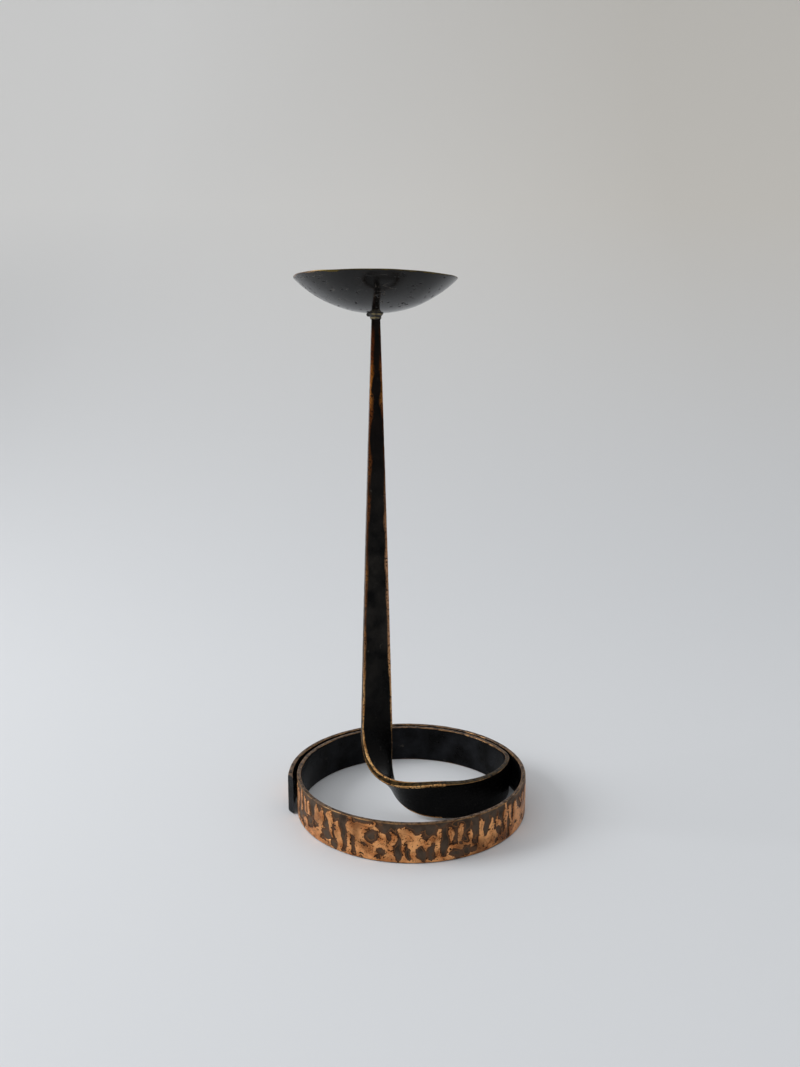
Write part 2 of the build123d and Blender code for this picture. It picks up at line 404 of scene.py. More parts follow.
# %% Rubbed copper: bright and brown patches, dark lines and pits
rubbed = "#EDAC71"
for layer, paint in (
    (mask["patch"], "#C37D4A"),
    (mask["tarnish"], "#76492D"),
    (relief["halo"], "#6E4427"),
    (relief["groove"], "#3A2214"),
    (pits, "#2B1A12"),
):
    rubbed = add(tree, "ShaderNodeMix", (layer, rubbed, paint), data_type="RGBA")
print("copper patches of", NOISES["patch"][0], "mm")

# %% Etched ground: dull brown grey, warmer near the plateaus
etched = "#504338"
for layer, paint in (
    (mask["patch"], "#352A21"),
    (relief["glow"], "#5F3F2B"),
    (relief["outline"], "#120C08"),
    (relief["ridge"], "#8A5C36"),
):
    etched = add(tree, "ShaderNodeMix", (layer, etched, paint), data_type="RGBA")
print("etched ground darkens in patches of", NOISES["patch"][0], "mm too")

# %% Black patina: near black with a painted grey sheen in places, brown on the edges and at the neck
EDGE_BAND = (0.15, 0.5, 0.85, 0.0)
on_edge = add(tree, "ShaderNodeMapRange", (edge, *EDGE_BAND))
brown, olive = (
    add(tree, "ShaderNodeMix", (mask["mottle"], light, deep), data_type="RGBA")
    for light, deep in (("#7A6350", "#382B22"), ("#46371F", "#18110B"))
)
edge_skin = add(tree, "ShaderNodeMix", (on["loop"], brown, olive), data_type="RGBA")
# Painted sheen: a grey reflection painted on the black, bluish on the ring's inner faces and brownish on the
# mid stem, none on the loop, and fading to black towards the top.
painted_sheen = "#1A1B1E"
for stretch, paint in (("loop", "#0B0A09"), ("stem", "#25221F"), ("top", "#0E0A08")):
    painted_sheen = add(tree, "ShaderNodeMix", (on[stretch], painted_sheen, paint), data_type="RGBA")
browned = add(tree, "ShaderNodeMath", (on["neck"], mask["cloud"]), operation="MULTIPLY")
dark = "#040404"
# The cloud noise spreads the painted sheen over the black in patches.
for layer, paint in (
    (mask["cloud"], painted_sheen),
    (mask["spots"], "#5A554E"),
    (zone, etched),
    (on_edge, edge_skin),
    (browned, "#1A0E08"),
):
    dark = add(tree, "ShaderNodeMix", (layer, dark, paint), data_type="RGBA")
print("patina clouds of", NOISES["cloud"][0], "mm, water spots of", NOISES["spots"][0], "mm")

# %% How far in the edges are rubbed
FRAY_SIZE, FRAY_STRETCH, FRAY_LEVELS = 4.5, 0.35, (0.3, 0.7, 0.0, 1.6)
EVEN_SHARE, EVEN_FRAY = 0.6, 0.8
SHARP_BORDER, SOFT_BORDER = 0.12, 0.5
fray = add(tree, "ShaderNodeVectorMath", (point, (FRAY_STRETCH, 1, 1)), operation="MULTIPLY")
fray = blotches(tree, fray, FRAY_SIZE, 4.0, FRAY_LEVELS)
# Along the loop and the lower stem the rubbed line is more even.
even = add(tree, "ShaderNodeMath", (on["loop"], on["top"]), operation="SUBTRACT")
even = add(tree, "ShaderNodeMath", (even, EVEN_SHARE), operation="MULTIPLY")
fray = add(tree, "ShaderNodeMix", (even, fray, EVEN_FRAY), data_type="FLOAT")
# The stem's right edge is rubbed further in low down, and its left edge near the top.
FAVOURED_SIDES = {"stem": (-3.0, 3.0, 1.75, 1.0), "top": (-3.0, 3.0, 0.55, 1.4)}
favour = 1.0
for stretch, row in FAVOURED_SIDES.items():
    side_rub = add(tree, "ShaderNodeMapRange", (across, *row))
    favour = add(tree, "ShaderNodeMix", (on[stretch], favour, side_rub), data_type="FLOAT")
rub_reach = wear
for share in (fray, favour):
    rub_reach = add(tree, "ShaderNodeMath", (rub_reach, share), operation="MULTIPLY")
bare = add(tree, "ShaderNodeMath", (rub_reach, corner), operation="SUBTRACT")
# The border of the rubbed metal is sharp on the foot and soft on the stem.
blur = add(tree, "ShaderNodeMapRange", {"Value": on["stem"], "To Min": SHARP_BORDER, "To Max": SOFT_BORDER})
far_blur = add(tree, "ShaderNodeMath", (blur, -1.0), operation="MULTIPLY")
bare = add(tree, "ShaderNodeMapRange", {"Value": bare, "From Min": far_blur, "From Max": blur})
bare = add(tree, "ShaderNodeMath", (bare, mask["specks"]), operation="MULTIPLY")
print("edges rubbed up to", round(max(s.wear for s in stations) * FRAY_LEVELS[-1], 2), "mm in")

# %% Metal of the rubbed edges, with the colours that the brazing heat left below the bowl, and painted highlights on the curl and on the stem's right edge
RIGHT_EDGE_PAINTED_LIGHT = (1.0, -3.0, 0.0, 0.7)
TEMPER_COLOURS = (
    (0.0, "#5C3418"), (0.42, "#64371A"), (0.54, "#AE7032"), (0.64, "#94581F"), (0.73, "#663318"),
    (0.86, "#4A2412"), (0.93, "#140B07"), (1.0, "#0C0805"),
)
# A painted highlight: the stem's rubbed right edge is painted lighter, as if lit from the right.
right_edge_painted_light = add(tree, "ShaderNodeMapRange", (across, *RIGHT_EDGE_PAINTED_LIGHT))
# The curl's copper is painted paler, partly for its polish and partly as a painted highlight.
edge_metal, polished_and_painted_highlight, heat_tint_and_painted_light = (
    add(tree, "ShaderNodeMix", (mask[name], first, second), data_type="RGBA")
    for name, first, second in (
        ("patch", "#97744F", "#563D2A"), ("patch", "#DDAE74", "#A06F40"), ("tarnish", "#5A3822", "#966434")
    )
)
# Paints that highlight of the right edge over the heat colours.
heat_tint_and_painted_light = add(tree, "ShaderNodeMix", (right_edge_painted_light, heat_tint_and_painted_light, "#BE8F6A"), data_type="RGBA")
temper = add(tree, "ShaderNodeValToRGB", {"Fac": on["temper"]})
stops = temper.node.color_ramp.elements
for place, _ in TEMPER_COLOURS[1:-1]:
    stops.new(place)
for stop, (place, code) in zip(stops, TEMPER_COLOURS):
    stop.position, stop.color = place, linear(code)
for stretch, paint in (("curl", polished_and_painted_highlight), ("stem", heat_tint_and_painted_light), ("top", temper)):
    edge_metal = add(tree, "ShaderNodeMix", (on[stretch], edge_metal, paint), data_type="RGBA")
print("heat colours over", TEMPER_LENGTH, "mm in", len(stops), "stops")

# %% Put the layers together
# Real polishing scratches and metal grain are a few hundredths of a millimetre. They are drawn about
# ten times as coarse, so that they show at this distance.
SCRATCH_LENGTH, SCRATCH_WIDTH, SCRATCH_LEVELS, GRAIN_SIZE = 14.0, 0.3, (0.6, 0.75), 0.45
SATIN = 0.35
colour = dark
for layer, paint in ((raised, rubbed), (bare, edge_metal)):
    colour = add(tree, "ShaderNodeMix", (layer, colour, paint), data_type="RGBA")
satin = add(tree, "ShaderNodeMath", (on_edge, SATIN), operation="MULTIPLY")
metal = raised
for layer in (bare, satin):
    metal = add(tree, "ShaderNodeMath", (metal, layer), operation="MAXIMUM")
scratch_grid = (1 / SCRATCH_LENGTH, 1 / SCRATCH_WIDTH, 1 / SCRATCH_WIDTH)
scratches = add(tree, "ShaderNodeVectorMath", (point, scratch_grid), operation="MULTIPLY")
scratches = blotches(tree, scratches, 1.0, 3.0, SCRATCH_LEVELS)
grain = add(tree, "ShaderNodeTexNoise", {"Vector": point, "Scale": 1 / GRAIN_SIZE, "Detail": 3.0})
print("scratches", SCRATCH_WIDTH, "mm wide, grain of", GRAIN_SIZE, "mm")

# %% Gloss and bump of the bar
SCRATCH_GLOSS, BUMP_STRENGTH, PATINA_SPECULAR = 0.1, 0.6, 0.06


def coat(tree, colour, metal, gloss, bump):
    """Links what a finish worked out to its shader, and hands back the shader's inputs."""
    inputs = tree.nodes["Principled BSDF"].inputs
    for name, socket in (("Base Color", colour), ("Metallic", metal), ("Roughness", gloss), ("Normal", bump)):
        tree.links.new(socket, inputs[name])
    return inputs


# Each row has what the roughness follows, and the values at its start and end.
black_gloss, matt_ground, copper_gloss, polish = (
    add(tree, "ShaderNodeMapRange", {"Value": value, "To Min": first, "To Max": last})
    for value, first, last in (
        (mask["cloud"], 0.14, 0.26), (zone, 0.0, 0.25), (grain, 0.22, 0.6), (on["loop"], 1.0, 0.5)
    )
)
black_gloss = add(tree, "ShaderNodeMath", (scratches, SCRATCH_GLOSS, black_gloss), operation="MULTIPLY_ADD")
black_gloss = add(tree, "ShaderNodeMath", (black_gloss, matt_ground), operation="ADD")
copper_gloss = add(tree, "ShaderNodeMath", (copper_gloss, polish), operation="MULTIPLY")
gloss = add(tree, "ShaderNodeMix", (metal, black_gloss, copper_gloss), data_type="FLOAT")
# Each pattern rises or sinks by a part of a millimetre.
height = 0.0
for layer, rise in ((raised, 0.25), (grain, 0.12), (scratches, -0.008), (pits, -0.1)):
    height = add(tree, "ShaderNodeMath", (layer, rise, height), operation="MULTIPLY_ADD")
bump = add(tree, "ShaderNodeBump", {"Height": height, "Distance": MM, "Strength": BUMP_STRENGTH})
surface = coat(tree, colour, metal, gloss, bump)
surface["Specular IOR Level"].default_value = PATINA_SPECULAR
print("bar finish:", len(tree.nodes), "nodes")

# %% [markdown]
# ## The bar
# A curve with a bevel would sweep a section too, but it can't taper width and thickness apart, nor
# sink a relief into one side only. Geometry Nodes can: Curve to Mesh joins the walk's stations with
# a rectangle, and Set Position then puts every point where the walk's directions and the section's
# rounding say. The relief sinks in, the edges get small dents, and the free end is cut obliquely.

# %% Store the walk as a line of points
bar_line = bpy.data.meshes.new("bar_line")
places = [(s.centre + RING_CENTRE) * MM for s in stations]
bar_line.from_pydata(places, [(i, i + 1) for i in range(len(stations) - 1)], [])
for name, vectors in (
    ("centre", places), ("outer", [s.outer for s in stations]), ("upper", [s.upper for s in stations])
):
    column = bar_line.attributes.new(name, "FLOAT_VECTOR", "POINT")
    column.data.foreach_set("vector", [number for vector in vectors for number in vector])
for name, scale in (("width", MM), ("thickness", MM), ("along", MM), ("worked", 1.0), ("wear", 1.0)):
    column = bar_line.attributes.new(name, "FLOAT", "POINT")
    column.data.foreach_set("value", [getattr(s, name) * scale for s in stations])
bar_piece = bpy.data.objects.new("wound_bar", bar_line)
scene.collection.objects.link(bar_piece)
print("line with", len(places), "points and", [a.name for a in bar_line.attributes if not a.is_internal])

# %% Start the tree: its inputs and the swept rectangle
# The rectangle's own size only says how its points are shared out between wide and narrow sides.
RECTANGLE_WIDTH, RECTANGLE_HEIGHT = 5.0, 20.0
bar_tree = bpy.data.node_groups.new("wound_bar", "GeometryNodeTree")
bar_tree.is_modifier = True
bar_inputs = {
    "Edge Rounding": ("NodeSocketFloat", EDGE_ROUNDING * MM),
    "Section Points": ("NodeSocketInt", 84),
    "Relief Depth": ("NodeSocketFloat", 0.4 * MM),
    "Edge Dents": ("NodeSocketFloat", 0.22 * MM),
    "Hammer Marks": ("NodeSocketFloat", 0.12 * MM),
    "Scarf Length": ("NodeSocketFloat", 4.5 * MM),
    "Scarf Toe": ("NodeSocketFloat", 0.5 * MM),
}
bar_tree.interface.new_socket("Geometry", in_out="INPUT", socket_type="NodeSocketGeometry")
for name, (kind, value) in bar_inputs.items():
    bar_tree.interface.new_socket(name, in_out="INPUT", socket_type=kind).default_value = value
bar_tree.interface.new_socket("Geometry", in_out="OUTPUT", socket_type="NodeSocketGeometry")
sizes = bar_tree.nodes.new("NodeGroupInput").outputs
rectangle = add(bar_tree, "GeometryNodeCurvePrimitiveQuadrilateral", (RECTANGLE_WIDTH, RECTANGLE_HEIGHT))
rectangle = add(bar_tree, "GeometryNodeResampleCurve", {"Curve": rectangle, "Count": sizes["Section Points"]})
corner_place = (RECTANGLE_WIDTH / 2, RECTANGLE_HEIGHT / 2, 1.0)
section = add(bar_tree, "GeometryNodeInputPosition")
section = add(bar_tree, "ShaderNodeVectorMath", (section, corner_place), operation="DIVIDE")
rectangle = add(
    bar_tree, "GeometryNodeStoreNamedAttribute", {"Geometry": rectangle, "Name": "section", "Value": section},
    data_type="FLOAT_VECTOR", domain="POINT",
)
walk = add(bar_tree, "GeometryNodeMeshToCurve", {"Mesh": sizes["Geometry"]})
swept = {"Curve": walk, "Profile Curve": rectangle, "Fill Caps": True}
swept = add(bar_tree, "GeometryNodeCurveToMesh", swept)
print("tree inputs:", list(bar_inputs))

# %% Read the stations back, and round the section
centre, outer, upper, section = (
    add(bar_tree, "GeometryNodeInputNamedAttribute", {"Name": name}, data_type="FLOAT_VECTOR")
    for name in ("centre", "outer", "upper", "section")
)
width, thickness, run, worked = (
    add(bar_tree, "GeometryNodeInputNamedAttribute", {"Name": name}, data_type="FLOAT")
    for name in ("width", "thickness", "along", "worked")
)
rounding = sizes["Edge Rounding"]
half = add(bar_tree, "ShaderNodeCombineXYZ", (thickness, width))
half = add(bar_tree, "ShaderNodeVectorMath", (half, 0.5), operation="SCALE")
sharp = add(bar_tree, "ShaderNodeVectorMath", (section, half), operation="MULTIPLY")
inset = add(bar_tree, "ShaderNodeCombineXYZ", (rounding, rounding))
core = add(bar_tree, "ShaderNodeVectorMath", (half, inset), operation="SUBTRACT")
far_core = add(bar_tree, "ShaderNodeVectorMath", (core, -1.0), operation="SCALE")
inner = add(bar_tree, "ShaderNodeVectorMath", (sharp, core), operation="MINIMUM")
inner = add(bar_tree, "ShaderNodeVectorMath", (inner, far_core), operation="MAXIMUM")
facing = add(bar_tree, "ShaderNodeVectorMath", (sharp, inner), operation="SUBTRACT")
facing = add(bar_tree, "ShaderNodeVectorMath", (facing,), operation="NORMALIZE")
skin = add(bar_tree, "ShaderNodeVectorMath", (facing, rounding), operation="SCALE")
skin = add(bar_tree, "ShaderNodeVectorMath", (inner, skin), operation="ADD")
print("section rounded by", EDGE_ROUNDING, "mm")

# %% Cut the free end obliquely, and measure each point in bar millimetres
SCARF_FADE = 14.0
side_share = add(bar_tree, "ShaderNodeSeparateXYZ", (section,))
scarf = add(bar_tree, "ShaderNodeMapRange", (side_share, -1.0, 1.0, 0.0, sizes["Scarf Length"]))
scarf = add(bar_tree, "ShaderNodeMath", (scarf, sizes["Scarf Toe"]), operation="ADD")
fade = add(bar_tree, "ShaderNodeMapRange", (run, 0.0, SCARF_FADE * MM, 1.0, 0.0))
scarf = add(bar_tree, "ShaderNodeMath", (scarf, fade), operation="MULTIPLY")
run = add(bar_tree, "ShaderNodeMath", (run, scarf), operation="ADD")
sideways, crosswise = add(bar_tree, "ShaderNodeSeparateXYZ", (skin,)).node.outputs[:2]
bar_point = add(bar_tree, "ShaderNodeCombineXYZ", (run, crosswise, sideways))
bar_point = add(bar_tree, "ShaderNodeVectorMath", (bar_point, 1 / MM), operation="SCALE")
print("free end cut back over", SCARF_FADE, "mm")

# %% Distances to the edges, and where the relief lies
OUTER_SIDE, PLAIN_END = 0.99, (8.0, 12.0)
to_edge = []
half_sizes = add(bar_tree, "ShaderNodeSeparateXYZ", (half,)).node.outputs
for half_size, offset in zip(half_sizes, (sideways, crosswise)):
    offset = add(bar_tree, "ShaderNodeMath", (offset,), operation="ABSOLUTE")
    distance = add(bar_tree, "ShaderNodeMath", (half_size, offset), operation="SUBTRACT")
    to_edge.append(add(bar_tree, "ShaderNodeMath", (distance, 1 / MM), operation="MULTIPLY"))
to_side, edge_distance = to_edge
corner_distance = add(bar_tree, "ShaderNodeMath", (to_side, edge_distance), operation="MAXIMUM")
outside = add(bar_tree, "ShaderNodeMath", (side_share, OUTER_SIDE), operation="GREATER_THAN")
past_end = add(bar_tree, "ShaderNodeMapRange", (run, *(place * MM for place in PLAIN_END)))
relief_zone = outside
for share in (worked, past_end):
    relief_zone = add(bar_tree, "ShaderNodeMath", (relief_zone, share), operation="MULTIPLY")
print("relief starts", PLAIN_END[0], "mm from the free end")

# %% Sink the relief, dent the edges
SUNK_LEVELS, RELIEF_MARGIN = (0.42, 0.53, 1.0, 0.0), (0.5, 1.1)
HAMMER_SIZE, DENT_SIZE, DENT_REACH = 11.0, 3.2, 1.2
sunk = relief_field(bar_tree, bar_point)
sunk = add(bar_tree, "ShaderNodeMapRange", (sunk, *SUNK_LEVELS), interpolation_type="SMOOTHSTEP")
margin = add(bar_tree, "ShaderNodeMapRange", (edge_distance, *RELIEF_MARGIN))
for share in (margin, relief_zone, sizes["Relief Depth"]):
    sunk = add(bar_tree, "ShaderNodeMath", (sunk, share), operation="MULTIPLY")
marks, dents = (
    add(bar_tree, "ShaderNodeTexNoise", {"Vector": bar_point, "Scale": 1 / size, "Detail": detail})
    for size, detail in ((HAMMER_SIZE, 1.0), (DENT_SIZE, 2.0))
)
rim_share = add(bar_tree, "ShaderNodeMapRange", (edge_distance, 0.0, DENT_REACH, 1.0, 0.0))
dents = add(bar_tree, "ShaderNodeMath", (dents, rim_share), operation="MULTIPLY")
for pattern, depth in ((marks, "Hammer Marks"), (dents, "Edge Dents")):
    sunk = add(bar_tree, "ShaderNodeMath", (pattern, sizes[depth], sunk), operation="MULTIPLY_ADD")
inwards = add(bar_tree, "ShaderNodeVectorMath", (facing, sunk), operation="SCALE")
skin = add(bar_tree, "ShaderNodeVectorMath", (skin, inwards), operation="SUBTRACT")
print("hammer marks of", HAMMER_SIZE, "mm, dents of", DENT_SIZE, "mm")

# %% Place the points, keep what the finish reads, shade and finish
# The faces along the bar have four corners, and the two end faces have many.
CORNERS_OF_A_STRIP = 4
sideways, crosswise = add(bar_tree, "ShaderNodeSeparateXYZ", (skin,)).node.outputs[:2]
forward = add(bar_tree, "ShaderNodeVectorMath", (outer, upper), operation="CROSS_PRODUCT")
placed = centre
for direction, distance in ((outer, sideways), (upper, crosswise), (forward, scarf)):
    offset = add(bar_tree, "ShaderNodeVectorMath", (direction, distance), operation="SCALE")
    placed = add(bar_tree, "ShaderNodeVectorMath", (placed, offset), operation="ADD")
corners = add(bar_tree, "GeometryNodeInputMeshFaceNeighbors", out="Vertex Count")
blunt = (corners, CORNERS_OF_A_STRIP)
blunt = add(bar_tree, "FunctionNodeCompare", blunt, data_type="INT", operation="GREATER_THAN")
smooth = add(bar_tree, "FunctionNodeBooleanMath", (blunt,), operation="NOT")
made = swept
for name, kind, domain, value in (
    ("bar_point", "FLOAT_VECTOR", "POINT", bar_point),
    ("edge", "FLOAT", "POINT", edge_distance),
    ("corner", "FLOAT", "POINT", corner_distance),
    ("relief_zone", "FLOAT", "POINT", relief_zone),
    ("end_face", "FLOAT", "FACE", blunt),
):
    stored = {"Geometry": made, "Name": name, "Value": value}
    made = add(bar_tree, "GeometryNodeStoreNamedAttribute", stored, data_type=kind, domain=domain)
made = add(bar_tree, "GeometryNodeSetPosition", {"Geometry": made, "Position": placed})
made = add(bar_tree, "GeometryNodeSetShadeSmooth", {"Geometry": made, "Shade Smooth": smooth})
made = add(bar_tree, "GeometryNodeRealizeInstances", {"Geometry": made})
made = add(bar_tree, "GeometryNodeSetMaterial", {"Geometry": made, "Material": bar_finish})
add(bar_tree, "NodeGroupOutput", {"Geometry": made})
print("bar tree:", len(bar_tree.nodes), "nodes")

# %% Evaluate the bar to a plain mesh


def evaluated(piece, tree, inputs):
    """Runs a Geometry Nodes tree on a piece and keeps the result as its plain mesh."""
    modifier = piece.modifiers.new(tree.name, "NODES")
    modifier.node_group = tree
    for item in tree.interface.items_tree:
        if item.in_out == "INPUT" and item.name in inputs:
            modifier[item.identifier] = inputs[item.name][1]
    graph = bpy.context.evaluated_depsgraph_get()
    result = piece.evaluated_get(graph)
    mesh = bpy.data.meshes.new_from_object(result, preserve_all_data_layers=True, depsgraph=graph)
    piece.modifiers.remove(modifier)
    piece.data = mesh
    return mesh


def face_outwards(mesh):
    """Turns a closed mesh's faces outwards if its volume comes out negative, and returns the volume."""
    shell = bmesh.new()
    shell.from_mesh(mesh)
    if shell.calc_volume(signed=True) < 0:
        bmesh.ops.reverse_faces(shell, faces=shell.faces)
        shell.to_mesh(mesh)
    volume = shell.calc_volume(signed=True)
    shell.free()
    return volume


bar_mesh = evaluated(bar_piece, bar_tree, bar_inputs)
for name in ("centre", "outer", "upper", "section", "width", "thickness", "along", "worked"):
    bar_mesh.attributes.remove(bar_mesh.attributes[name])
volume = face_outwards(bar_mesh)
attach(bar_piece, "root")
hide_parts("spiral_bar")
bar_mesh.calc_loop_triangles()
print("bar:", len(bar_mesh.loop_triangles), "triangles,", round(volume / MM**3), "cubic mm")

# %% [markdown]
# ## The drip bowl
# The bowl was raised from sheet: a shallow pan, a little uneven at the rim, blackened like the bar.
# A sphere cut by a plane would be too perfect. A profile is turned round the axis instead, ring by
# ring, and each point is then moved by a slow noise for the hammer marks and by a few waves that
# grow towards the rim.

# %% Turn a profile round an axis
RING_POINTS = 192


def turned_piece(name, profile, axis, shift=None, points=RING_POINTS):
    """A closed turned mesh from (radius, height) pairs that start and end on the axis, in mm."""
    shell = bmesh.new()
    rings = []
    for radius, height in profile:
        count = points if radius else 1
        ring = []
        for k in range(count):
            angle = 2 * pi * k / count
            place = Vector((radius * cos(angle), radius * sin(angle), height))
            if shift:
                place = shift(place)
            ring.append(shell.verts.new((place + axis) * MM))
        rings.append(ring)
    for low, high in zip(rings, rings[1:]):
        for k in range(points):
            corners = [low[k % len(low)], low[(k + 1) % len(low)]]
            corners += [high[(k + 1) % len(high)], high[k % len(high)]]
            shell.faces.new(list(dict.fromkeys(corners)))
    bmesh.ops.recalc_face_normals(shell, faces=shell.faces)
    mesh = bpy.data.meshes.new(name)
    shell.to_mesh(mesh)
    shell.free()
    mesh.shade_smooth()
    piece = bpy.data.objects.new(name, mesh)
    scene.collection.objects.link(piece)
    return piece


print("turned pieces have", RING_POINTS, "points round")

# %% Draw the bowl's profile
BOWL_WALL, SEAT_RADIUS, LIP_ROUNDING, LIP_FLAT, INSIDE_DROP = 1.2, 5.1, 0.3, 0.25, 0.15
SEAT_RINGS = (2.0, 4.0)
WALL_STEPS, LIP_STEPS, BALL_TRIES = 48, 8, 8
rim_radius = (bowl_high.x - bowl_low.x) / 2
bowl_depth = bowl_high.z - bowl_low.z
lip_radius, lip_height = rim_radius - LIP_ROUNDING, bowl_depth - LIP_ROUNDING
# The wall is part of a ball that passes through the seat's edge and touches the lip's rounding.
# Its radius depends on its height and the other way round, so a few tries close in on both.
ball_height = rim_radius
for _ in range(BALL_TRIES):
    ball_radius = hypot(SEAT_RADIUS, ball_height)
    ball_height = lip_radius**2 + lip_height**2 - SEAT_RADIUS**2 - LIP_ROUNDING**2
    ball_height = (ball_height + 2 * LIP_ROUNDING * ball_radius) / (2 * lip_height)
lip_angle = asin(lip_radius / (ball_radius - LIP_ROUNDING))


def wall_line(radius, stop):
    """Points along a ball's wall from the seat up to a stop angle, by even angles."""
    start = asin(SEAT_RADIUS / radius)
    angles = [start + (stop - start) * i / WALL_STEPS for i in range(WALL_STEPS + 1)]
    return [(radius * sin(a), ball_height - radius * cos(a)) for a in angles]


inside_radius = ball_radius - BOWL_WALL
inside_wall = wall_line(inside_radius, acos((ball_height - bowl_depth + INSIDE_DROP) / inside_radius))
lip_turns = [lip_angle + (pi - lip_angle) * i / LIP_STEPS for i in range(1, LIP_STEPS + 1)]
lip = [(lip_radius + LIP_ROUNDING * sin(t), lip_height - LIP_ROUNDING * cos(t)) for t in lip_turns]
lip.append((inside_wall[-1][0] + LIP_FLAT, bowl_depth))
under_seat = [(0, 0.0)] + [(radius, 0.0) for radius in SEAT_RINGS]
floor_seat = [(radius, BOWL_WALL) for radius in SEAT_RINGS[::-1]] + [(0, BOWL_WALL)]
bowl_profile = under_seat + wall_line(ball_radius, lip_angle) + lip + inside_wall[::-1] + floor_seat
print("bowl: radius", round(rim_radius, 2), "mm, depth", round(bowl_depth, 2), "mm")

# %% Shape the bowl
RIM_DROP = 0.006
# Each wave has its number of crests round the rim, its height in millimetres and its start in radians.
RIM_WAVES = ((2, 0.25, 0.6), (5, 0.12, 2.0))
PLANISH_SIZE, PLANISH_DEPTH, PLANISH_START, PLANISH_FULL = 13.0, 0.2, 0.12, 0.52


def uneven(place):
    """Hammer marks away from the seat, and waves that grow towards the rim."""
    share = place.xy.length / rim_radius
    angle = atan2(place.y, place.x)
    wave = sum(height * sin(crests * angle + start) for crests, height, start in RIM_WAVES)
    mark = noise.noise(Vector((place.x, place.y, 0.0)) / PLANISH_SIZE) * PLANISH_DEPTH
    planished = min(1.0, max(0.0, (share - PLANISH_START) / (PLANISH_FULL - PLANISH_START)))
    place.z += share**3 * (wave - RIM_DROP * place.x) + mark * planished
    return place


bowl_piece = turned_piece("drip_bowl_pan", bowl_profile, bowl_foot, uneven)
print("bowl:", len(bowl_piece.data.vertices), "points, hammer marks of", PLANISH_SIZE, "mm")

# %% [markdown]
# ## Finish of the bowl: blackened sheet
# The bowl has the same patina, thicker and glossier, over sheet that was polished before. It mirrors
# the pale table at a flat angle, so its limb looks lighter. Fine scratches, a few scars and pits
# break the gloss, and the rim is rubbed to a thin line of metal.

# %% Bowl finish: where a point lies


def piece_point(tree, origin):
    """The shaded point in millimetres from an origin on the piece."""
    place = add(tree, "ShaderNodeTexCoord", out="Object")
    centred = add(tree, "ShaderNodeMapping", {"Vector": place, "Location": [-v * MM for v in origin]})
    return add(tree, "ShaderNodeVectorMath", (centred, 1 / MM), operation="SCALE")


# Polished sheet under a thick patina: to the eye a black mirror, hazed by scratches.
bowl_finish = new_finish("black_patina_on_sheet")
tree = bowl_finish.node_tree
rim_values = []
for radius, height in bowl_profile:
    rim_values += [bowl_depth - height] * (RING_POINTS if radius else 1)
column = bowl_piece.data.attributes.new("below_rim", "FLOAT", "POINT")
column.data.foreach_set("value", rim_values)
point = piece_point(tree, bowl_foot)
rightwards = add(tree, "ShaderNodeSeparateXYZ", (point,))
below_rim = add(tree, "ShaderNodeAttribute", out="Fac", attribute_name="below_rim")
print("bowl: up to", round(max(rim_values), 1), "mm below the rim")

# %% Scars and nicks of the bowl
SCAR_SIZE, SCAR_LEVELS, SCAR_WIDTH = 4.0, (0.5, 0.512), (0.003, 0.013, 1.0, 0.0)
PLACE_SIZE, PLACE_LEVELS, LEFT_BIAS = 10.5, (0.56, 0.63), -0.006
NICK_SIZE, NICK_LEVELS = 1.5, (0.675, 0.7)
SCAR_OFFSET, SCAR_STRETCH = (7, 4, 3), (0.45, 0.45, 1.2)
drawn = {"Vector": point, "Location": SCAR_OFFSET, "Scale": SCAR_STRETCH}
drawn = add(tree, "ShaderNodeMapping", drawn)
lines = add(tree, "ShaderNodeTexNoise", {"Vector": drawn, "Scale": 1 / SCAR_SIZE, "Detail": 3.0})
spread = add(tree, "ShaderNodeTexNoise", {"Vector": point, "Scale": 1 / PLACE_SIZE, "Detail": 1.0})
spread = add(tree, "ShaderNodeMath", (rightwards, LEFT_BIAS, spread), operation="MULTIPLY_ADD")
spread = add(tree, "ShaderNodeMapRange", (spread, *PLACE_LEVELS))
scars, ridges = (line_at(tree, lines, level, SCAR_WIDTH) for level in SCAR_LEVELS)
scars, ridges = (
    add(tree, "ShaderNodeMath", (line, spread), operation="MULTIPLY") for line in (scars, ridges)
)
nicks = blotches(tree, drawn, NICK_SIZE, 1.0, NICK_LEVELS)
scars = add(tree, "ShaderNodeMath", (scars, nicks), operation="MAXIMUM")
print("scars of", SCAR_SIZE, "mm in places of", PLACE_SIZE, "mm, nicks of", NICK_SIZE, "mm")

# %% Rubbed rim, colour and gloss of the bowl
# The polishing scratches are drawn coarser than the real ones, which are too fine to show.
SCRATCH_SIZE, SCRATCH_STRETCH, SCRATCH_TURN = 0.7, 0.08, 0.7
CLOUD_SIZE, CLOUD_LEVELS = 16.0, (0.35, 0.68)
RUB_SIZE, RUB_LEVELS, RUB_BORDER = 6.0, (0.45, 0.7, 0.4, 1.0), (-0.05, 0.15)
PINKISH_LEFT = (-32.0, -22.0, 1.0, 0.0)
MIRROR, HAZE, SCAR_GLOSS, SHEET_SPECULAR, SHEET_BUMP = 0.02, 0.2, 0.5, 0.22, 0.5
scratches = {"Vector": point, "Rotation": (0, 0, SCRATCH_TURN), "Scale": (SCRATCH_STRETCH, 1.0, 1.0)}
scratches = add(tree, "ShaderNodeMapping", scratches)
scratches = add(tree, "ShaderNodeTexNoise", {"Vector": scratches, "Scale": 1 / SCRATCH_SIZE, "Detail": 4.0})
cloud = blotches(tree, point, CLOUD_SIZE, 5.0, CLOUD_LEVELS)
rub = blotches(tree, point, RUB_SIZE, 3.0, RUB_LEVELS)
bare = add(tree, "ShaderNodeMath", (rub, below_rim), operation="SUBTRACT")
bare = add(tree, "ShaderNodeMapRange", (bare, *RUB_BORDER))
pinkish = add(tree, "ShaderNodeMapRange", (rightwards, *PINKISH_LEFT))
